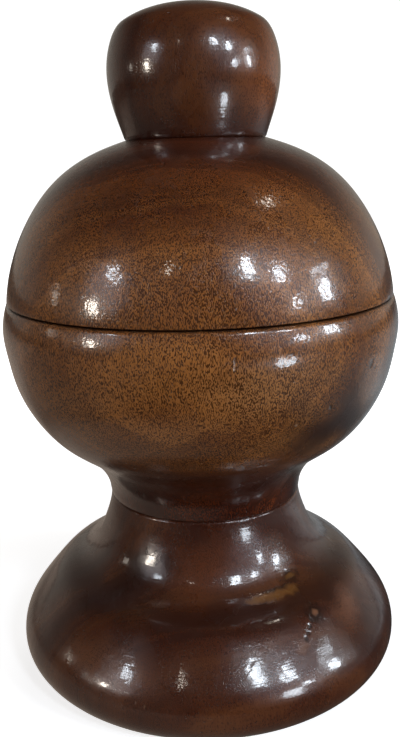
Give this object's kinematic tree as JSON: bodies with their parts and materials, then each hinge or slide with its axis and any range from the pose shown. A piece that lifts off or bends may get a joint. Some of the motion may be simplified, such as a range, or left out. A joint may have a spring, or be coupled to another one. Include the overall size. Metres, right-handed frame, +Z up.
{
  "type": "nutcracker",
  "caption": "Turned wooden slam nutcracker: a round bowl with an anvil on a flared foot, and a lift-off domed lid with a palm knob and a hanging striker.",
  "frame": {"origin": "middle of the underside of the felt pad that it stands on", "axes": "+Z up along the turning axis, from the foot to the knob; X and Y are equivalent"},
  "size_m": [0.1304, 0.1304, 0.2128],
  "materials": {
    "golden_wood": "glossy lacquer",
    "dark_wood": "glossy lacquer",
    "bare_wood": "unlacquered",
    "plate_steel": "turned and worn",
    "screw_steel": "zinc plated",
    "felt": "pressed wool felt"
  },
  "bodies": {
    "stand": {"bowl": "golden_wood", "anvil_plate": "plate_steel", "anvil_screws": "screw_steel", "pedestal_base": "dark_wood", "neck_stud": "screw_steel", "neck_washer": "screw_steel", "neck_nut": "screw_steel", "base_pad": "felt"},
    "lid": {"lid_dome": "golden_wood", "knob": "dark_wood", "striker_block": "bare_wood", "striker_plate": "plate_steel", "striker_screws": "screw_steel", "knob_screw": "screw_steel", "knob_washer": "screw_steel"}
  },
  "joints": [
    {"name": "lid_lift", "type": "slide", "parent": "stand", "child": "lid", "axis": [0, 0, 1], "range_m": [0, 0.07]}
  ]
}
